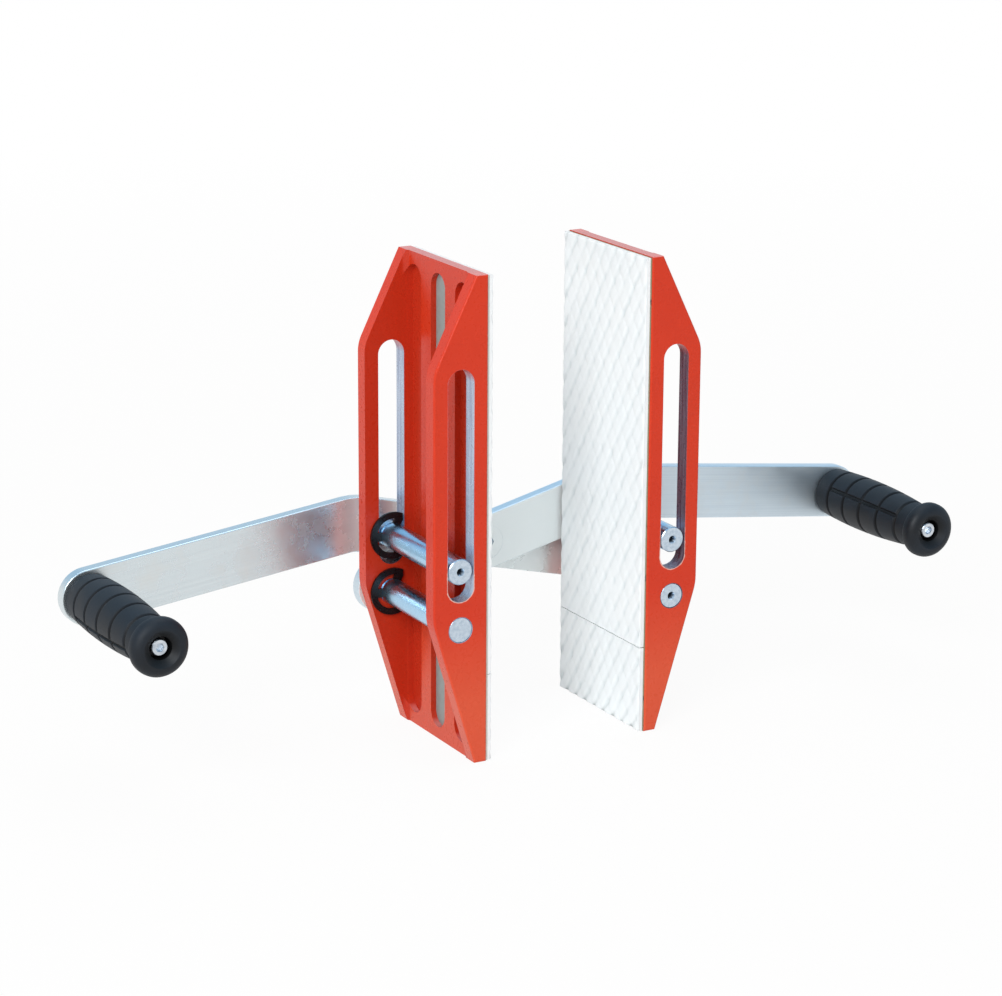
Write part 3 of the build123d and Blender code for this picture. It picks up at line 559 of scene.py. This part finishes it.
def smoothRandom(rng, count, spread):     # a wandering line from -1 to 1, for a knife-cut edge
    raw = rng.normal(size=count + 4 * spread)
    kernel = np.hanning(2 * spread + 1)
    line = np.convolve(raw, kernel / kernel.sum(), mode="same")[2 * spread:2 * spread + count]
    return line / (np.abs(line).max() + 1e-9)


def smoothField(rng, u, v, size, waves=8):   # a soft random field about -1 to 1, with waves of this many mm
    field = np.zeros_like(u)
    full = 2 * math.pi
    for turn, phase, stretch in zip(rng.uniform(0, full, waves), rng.uniform(0, full, waves),
                                    rng.uniform(0.7, 1.5, waves)):
        field += np.sin(full * (u * math.cos(turn) + v * math.sin(turn)) / (size * stretch) + phase)
    return field / 3.0


def makeFacing(name, cadNode, body, way, jointBelow, seed):
    low, high = (np.array(c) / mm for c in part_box(cadNode))
    back, front = (high[0], low[0]) if way > 0 else (low[0], high[0])
    rng = np.random.default_rng(seed)
    countY = int(round((high[1] - low[1]) / facing["step"])) + 1
    countZ = int(round((high[2] - low[2]) / facing["step"])) + 1
    ys = np.linspace(low[1], high[1], countY)
    zs = np.linspace(low[2], high[2], countZ)
    yy, zz = np.meshgrid(ys, zs)
    midY = (low[1] + high[1]) / 2
    shift = facing["wander"] * smoothField(rng, yy, zz, facing["wanderSize"])
    depth = reliefDepth(-way * (yy - midY) + shift, zz)
    uneven = 1 + facing["uneven"] * smoothField(rng, yy, zz, facing["unevenSize"])
    depth = np.minimum(depth * uneven, facing["deepest"])
    if jointBelow:
        depth = depth * facing["worn"]

    fromFoot, fromTop = zz - low[2], high[2] - zz
    fromJoint, fromEnd = (fromFoot, fromTop) if jointBelow else (fromTop, fromFoot)
    # painted shade: the grooves near the far side and near the lower facings' feet are painted grey
    dusty = facing["sideShade"] * np.exp(-(high[1] - yy) / facing["edgeShadeReach"])
    if not jointBelow:
        dusty = np.maximum(dusty, np.exp(-fromFoot / facing["edgeShadeReach"]))
    dusty = dusty * np.clip(depth / facing["edgeShadeDepth"], 0, 1) ** 2
    inset = np.minimum.reduce([yy - low[1], high[1] - yy, fromEnd])
    depth = depth * np.clip(facing["jointRelief"] + fromJoint / facing["jointFade"], 0, 1)
    depth = depth + facing["edgeRound"] * np.clip(1 - inset / facing["edgeReach"], 0, 1) ** 2
    depth = depth + facing["jointRound"] * np.clip(1 - fromJoint / facing["jointReach"], 0, 1) ** 2

    spread, fadeY, fadeZ = facing["raggedSpread"], facing["raggedFadeY"], facing["raggedFadeZ"]
    cutY = np.stack([smoothRandom(rng, countZ, spread) for _ in range(2)]) * 0.5 + 0.5
    cutZ = np.stack([smoothRandom(rng, countY, spread) for _ in range(2)]) * 0.5 + 0.5
    share = (yy - low[1]) / (high[1] - low[1])
    yy = yy + facing["ragged"] * (cutY[0][:, None] * (1 - share) ** fadeY - cutY[1][:, None] * share ** fadeY)
    share = (zz - low[2]) / (high[2] - low[2])
    zz = zz + facing["ragged"] * (cutZ[0][None, :] * (1 - share) ** fadeZ - cutZ[1][None, :] * share ** fadeZ)
    xx = front + way * depth
    top = np.stack([xx, yy, zz], -1).reshape(-1, 3)

    index = np.arange(countY * countZ).reshape(countZ, countY)
    faces = np.stack([index[:-1, :-1], index[:-1, 1:], index[1:, 1:], index[1:, :-1]], -1).reshape(-1, 4)
    if way > 0:
        faces = faces[:, ::-1]
    ring = np.concatenate([index[0, :-1], index[:-1, -1], index[-1, :0:-1], index[:0:-1, 0]])
    count = len(ring)
    skirt = top[ring].copy()
    skirt[:, 0] = back
    middle = (top[ring] + skirt) / 2
    verts = np.concatenate([top, middle, skirt])
    first = countY * countZ
    middleRing = np.arange(first, first + count)
    under = middleRing + count
    sides = []
    for upper, lower in ((ring, middleRing), (middleRing, under)):
        quad = np.stack([upper, lower, np.roll(lower, -1), np.roll(upper, -1)], -1)
        sides.append(quad if way < 0 else quad[:, ::-1])
    under = under[::-1] if way < 0 else under
    polygons = faces.tolist() + np.concatenate(sides).tolist() + [under.tolist()]

    mesh = bpy.data.meshes.new(name)
    mesh.from_pydata((verts * mm).tolist(), [], polygons)
    height = 1 - np.clip(depth.reshape(-1) / facing["reliefSpan"], 0, 1)
    addShares(mesh, "relief", np.concatenate([height, np.full(2 * count, facing["skirtRelief"])]))
    addShares(mesh, "grime", np.concatenate([dusty.reshape(-1), np.zeros(2 * count)]))
    mesh.validate()
    addPiece(name, mesh, "white_rubber", body, cadNode)


for order, (sideName, way) in enumerate((("left", -1), ("right", 1))):
    for level, half in enumerate(("upper", "lower")):
        makeFacing(f"{sideName}{half.capitalize()}Facing", f"{sideName}_{half}_pad", f"{sideName}_jaw",
                   way, half == "upper", facing["seed"] + 2 * order + level)
print("rubber facings embossed")


# Grips: each moulded sleeve is turned from one outline, its grooves pressed in with soft shoulders
grip = {
    "baseRadius": 15.6, "swellRadius": 17.2, "swellAt": 38.0, "neckRadius": 13.4, "neckAt": 98.0,
    "flangeRadius": 17.78, "lipAt": 102.5, "bore": 9.05, "postEnd": 95.7, "screwBore": 3.05,
    "recessRadius": 7.0, "recessFloor": 98.7, "dishRadius": 11.2, "dishDepth": 3.5,
    "baseSoft": 2.0, "neckSoft": 1.2, "lipSoft": 1.5, "rimSoft": 6.2, "dishSoft": 0.6, "cornerPoints": 7,
    "dishRim": 0.3, "dishFade": 2.5, "outerMargin": 0.1, "neckMargin": 1.0,
    "grooveStart": 16.0, "grooveEnd": 88.0, "grooveCount": 5, "grooveWidth": 2.4, "grooveDepth": 1.4,
    "shoulder": 0.8, "panelTurn": {"left": 197.0, "right": 152.0},
    "barrelFrom": 3.0, "barrelShort": 1.5, "step": 1.6, "fineStep": 0.3, "fineReach": 2.4,
    "turn": 3.0, "fineTurn": 0.75, "fineSwing": 9.0,
}


def softCorner(before, corner, after, radius):
    corner = np.array(corner, float)
    one, two = (np.array(p, float) - corner for p in (before, after))
    one, two = one / np.linalg.norm(one), two / np.linalg.norm(two)
    half = math.acos(float(np.clip(one @ two, -1, 1))) / 2
    middle = corner + (one + two) / np.linalg.norm(one + two) * radius / math.sin(half)
    start, end = (corner + way * radius / math.tan(half) - middle for way in (one, two))
    turn = math.pi - 2 * half
    return [middle + (math.sin((1 - t) * turn) * start + math.sin(t * turn) * end) / math.sin(turn)
            for t in np.linspace(0, 1, grip["cornerPoints"])]


def gripOutline(length, marks):           # radius and distance from the arm, round the section
    fine = np.arange(-grip["fineReach"], grip["fineReach"] + 0.1, grip["fineStep"])   # 0.1 keeps the end
    along = [np.arange(grip["barrelFrom"], grip["neckAt"] - grip["barrelShort"], grip["step"])]
    along += [mark + fine for mark in marks]
    along = np.unique(np.round(np.concatenate(along), 2))
    bulge = np.polyfit((0, grip["swellAt"], grip["neckAt"]),
                       (grip["baseRadius"], grip["swellRadius"], grip["neckRadius"]), 2)
    corners = [(grip["bore"], 0, 0), (grip["baseRadius"], 0, grip["baseSoft"])]
    corners += [(float(np.polyval(bulge, d)), float(d), 0) for d in along]
    corners += [
        (grip["neckRadius"], grip["neckAt"], grip["neckSoft"]),
        (grip["flangeRadius"], grip["lipAt"], grip["lipSoft"]),
        (grip["flangeRadius"], length, grip["rimSoft"]), (grip["dishRadius"], length, grip["dishSoft"]),
        (grip["recessRadius"], length - grip["dishDepth"], grip["dishSoft"]),
        (grip["recessRadius"], grip["recessFloor"], 0), (grip["screwBore"], grip["recessFloor"], 0),
        (grip["screwBore"], grip["postEnd"], 0), (grip["bore"], grip["postEnd"], 0),
    ]
    points = []
    for i, (radius, distance, soft) in enumerate(corners):
        if soft:
            points += softCorner(corners[i - 1][:2], (radius, distance), corners[i + 1][:2], soft)
        else:
            points.append(np.array((radius, distance)))
    return np.array(points)


def pressed(off, width):                  # 1 on a groove's bed, 0 on the land, with soft shoulders
    t = np.clip((width / 2 + grip["shoulder"] / 2 - np.abs(off)) / grip["shoulder"], 0, 1)
    return t * t * (3 - 2 * t)


def makeGrip(name, cadNode, body, panelTurn):
    low, high = (np.array(c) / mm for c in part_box(cadNode))
    centreX, centreZ = (low[0] + high[0]) / 2, (low[2] + high[2]) / 2
    marks = np.linspace(grip["grooveStart"], grip["grooveEnd"], grip["grooveCount"])
    outline = gripOutline(high[1] - low[1], marks)
    swing = np.arange(-grip["fineSwing"], grip["fineSwing"] + 0.1, grip["fineTurn"])
    turns = [np.arange(0, 360, grip["turn"])]
    turns += [np.mod(panelTurn + half + swing, 360) for half in (0, 180)]
    turns = np.unique(np.round(np.concatenate(turns), 2))
    radius, distance = outline[:, :1], outline[:, 1:]
    onBarrel = radius > grip["neckRadius"] - grip["outerMargin"]
    onBarrel = onBarrel & (distance < grip["neckAt"] - grip["neckMargin"])
    rings = np.max([pressed(distance - mark, grip["grooveWidth"]) for mark in marks], axis=0)
    fromPanel = np.mod(turns[None, :] - panelTurn + 90, 180) - 90
    panels = pressed(np.radians(fromPanel) * radius, grip["grooveWidth"])
    panels = panels * pressed(distance - marks.mean(), marks[-1] - marks[0] + grip["grooveWidth"])
    hollow = np.maximum(rings, panels) * onBarrel
    reach = radius - hollow * grip["grooveDepth"]
    inDish = np.clip((grip["dishRadius"] + grip["dishRim"] - radius) / grip["dishFade"], 0, 1)
    inDish = inDish * (distance > grip["neckAt"])

    angle = np.radians(turns)[None, :]
    verts = np.stack([centreX + reach * np.cos(angle), high[1] - distance + 0 * reach,
                      centreZ + reach * np.sin(angle)], -1).reshape(-1, 3) * mm
    rows, columns = reach.shape
    index = np.arange(rows * columns).reshape(rows, columns)
    nextRow, nextColumn = np.roll(index, -1, 0), np.roll(index, -1, 1)
    faces = np.stack([index, nextColumn, np.roll(nextRow, -1, 1), nextRow], -1).reshape(-1, 4)

    mesh = bpy.data.meshes.new(name)
    mesh.from_pydata(verts.tolist(), [], faces.tolist())
    # painted shade: marks the grooves and the end dish, for the material to paint dark
    addShares(mesh, "hollow", np.maximum(hollow, inDish).reshape(-1))
    solid = bmesh.new()
    solid.from_mesh(mesh)
    bmesh.ops.recalc_face_normals(solid, faces=solid.faces)
    solid.to_mesh(mesh)
    solid.free()
    addPiece(name, mesh, "black_rubber", body, cadNode)


for sideName in ("left", "right"):
    makeGrip(f"{sideName}MouldedGrip", f"{sideName}_grip", f"{sideName}_arm", grip["panelTurn"][sideName])
print("grips moulded")


# Studio: white floor, soft sky, one large soft lamp at the upper left and one overhead
studio = {
    "floorSize": 12.0, "floorColour": "#f4f4f3",
    "floorGlow": 0.93, "shadowNear": 0.5, "shadowFar": 2.2,   # a faint shadow, only round the clamp
    "skyHigh": "#add5f2", "skyLow": "#ffffff", "skyRise": (0.05, 0.5), "skyDiffuse": 0.44,
    "keyAt": (-2.5, -2.2, 2.3), "keySize": 2.0, "keyPower": 105.0,
    "topAt": (0.3, 0.3, 2.6), "topSize": 2.0, "topPower": 20.0, "lampAim": (0.0, 0.0, 0.13),
}


def seenDirectly(tree):                   # 1 for camera, mirror and glass rays
    path = addNode(tree, "LightPath")
    seen = addNode(tree, "Math", {0: path.outputs["Is Camera Ray"], 1: path.outputs["Is Glossy Ray"]},
                   operation="MAXIMUM").outputs[0]
    return addNode(tree, "Math", {0: seen, 1: path.outputs["Is Transmission Ray"]},
                   operation="MAXIMUM").outputs[0]


def makeFloor():
    half = studio["floorSize"] / 2
    corners = [(-half, -half, 0), (half, -half, 0), (half, half, 0), (-half, half, 0)]
    mesh = bpy.data.meshes.new("floor")
    mesh.from_pydata(corners, [], [(0, 1, 2, 3)])
    floor = bpy.data.objects.new("floor", mesh)
    scene.collection.objects.link(floor)
    material = bpy.data.materials.new("paleStudioFloor")
    material.use_nodes = True
    tree = material.node_tree
    tree.nodes.clear()
    matt = addNode(tree, "BsdfDiffuse", {"Color": linearColour(studio["floorColour"])}).outputs[0]
    glow = addNode(tree, "Emission", {"Strength": 1.0}).outputs[0]
    place = addNode(tree, "TexCoord").outputs["Object"]
    reach = addNode(tree, "VectorMath", {0: place}, operation="LENGTH").outputs["Value"]
    white = addNode(tree, "MapRange", {"Value": reach, "From Min": studio["shadowNear"],
                                       "From Max": studio["shadowFar"], "To Min": studio["floorGlow"],
                                       "To Max": 1.0}).outputs[0]
    share = addNode(tree, "Math", {0: seenDirectly(tree), 1: white}, operation="MULTIPLY").outputs[0]
    mixed = addNode(tree, "MixShader", {0: share, 1: matt, 2: glow}).outputs[0]
    addNode(tree, "OutputMaterial", {"Surface": mixed})
    mesh.materials.append(material)


def makeSky():
    world = bpy.data.worlds.new("studioSky")
    world.use_nodes = True
    scene.world = world
    tree = world.node_tree
    tree.nodes.clear()
    way = addNode(tree, "TexCoord").outputs["Generated"]
    rise = addNode(tree, "SeparateXYZ", {0: way}).outputs[2]
    blue = addNode(tree, "MapRange", {"Value": rise, "From Min": studio["skyRise"][0],
                                      "From Max": studio["skyRise"][1]}).outputs[0]
    colour = addNode(tree, "Mix", {0: blue, 6: linearColour(studio["skyLow"]),
                                   7: linearColour(studio["skyHigh"])}, data_type="RGBA").outputs[2]
    plain = addNode(tree, "Background", {"Strength": studio["skyDiffuse"]}).outputs[0]
    seen = addNode(tree, "Background", {"Color": colour, "Strength": 1.0}).outputs[0]
    mixed = addNode(tree, "MixShader", {0: seenDirectly(tree), 1: plain, 2: seen}).outputs[0]
    addNode(tree, "OutputWorld", {"Surface": mixed})


def hangLamp(name, at, size, power):
    lamp = bpy.data.lights.new(name, "AREA")
    lamp.size = size
    lamp.energy = power
    holder = bpy.data.objects.new(name, lamp)
    holder.location = at
    holder.rotation_euler = (Vector(studio["lampAim"]) - Vector(at)).to_track_quat("-Z", "Y").to_euler()
    scene.collection.objects.link(holder)


makeFloor()
makeSky()
hangLamp("keySoftbox", studio["keyAt"], studio["keySize"], studio["keyPower"])
hangLamp("topSoftbox", studio["topAt"], studio["topSize"], studio["topPower"])
scene.view_settings.view_transform = "Standard"
print("studio lit")

# Camera, solved from the photograph's own corners for a 1002 by 996 picture
shot = {
    "aim": (-0.01518, -0.00473, 0.14607), "distance": 1.92898,
    "azimuth": -29.0243, "elevation": 15.6123, "roll": 0.3458,
    "focalPixels": 3139.67, "pictureWidth": 1002, "sensor": 36.0,
}


def placeCamera():
    azimuth, elevation, roll = (math.radians(shot[k]) for k in ("azimuth", "elevation", "roll"))
    back = Vector((math.sin(azimuth) * math.cos(elevation), -math.cos(azimuth) * math.cos(elevation),
                   math.sin(elevation)))
    level = (-back).cross(Vector((0, 0, 1))).normalized()
    rise = level.cross(-back)
    right = math.cos(roll) * level + math.sin(roll) * rise
    up = math.cos(roll) * rise - math.sin(roll) * level
    lens = bpy.data.cameras.new("photoCamera")
    lens.sensor_fit = "HORIZONTAL"
    lens.sensor_width = shot["sensor"]
    lens.lens = shot["focalPixels"] * shot["sensor"] / shot["pictureWidth"]
    camera = bpy.data.objects.new("photoCamera", lens)
    camera.matrix_world = Matrix((right, up, back)).transposed().to_4x4()
    camera.location = Vector(shot["aim"]) + back * shot["distance"]
    scene.collection.objects.link(camera)
    scene.camera = camera


placeCamera()
print("camera placed")
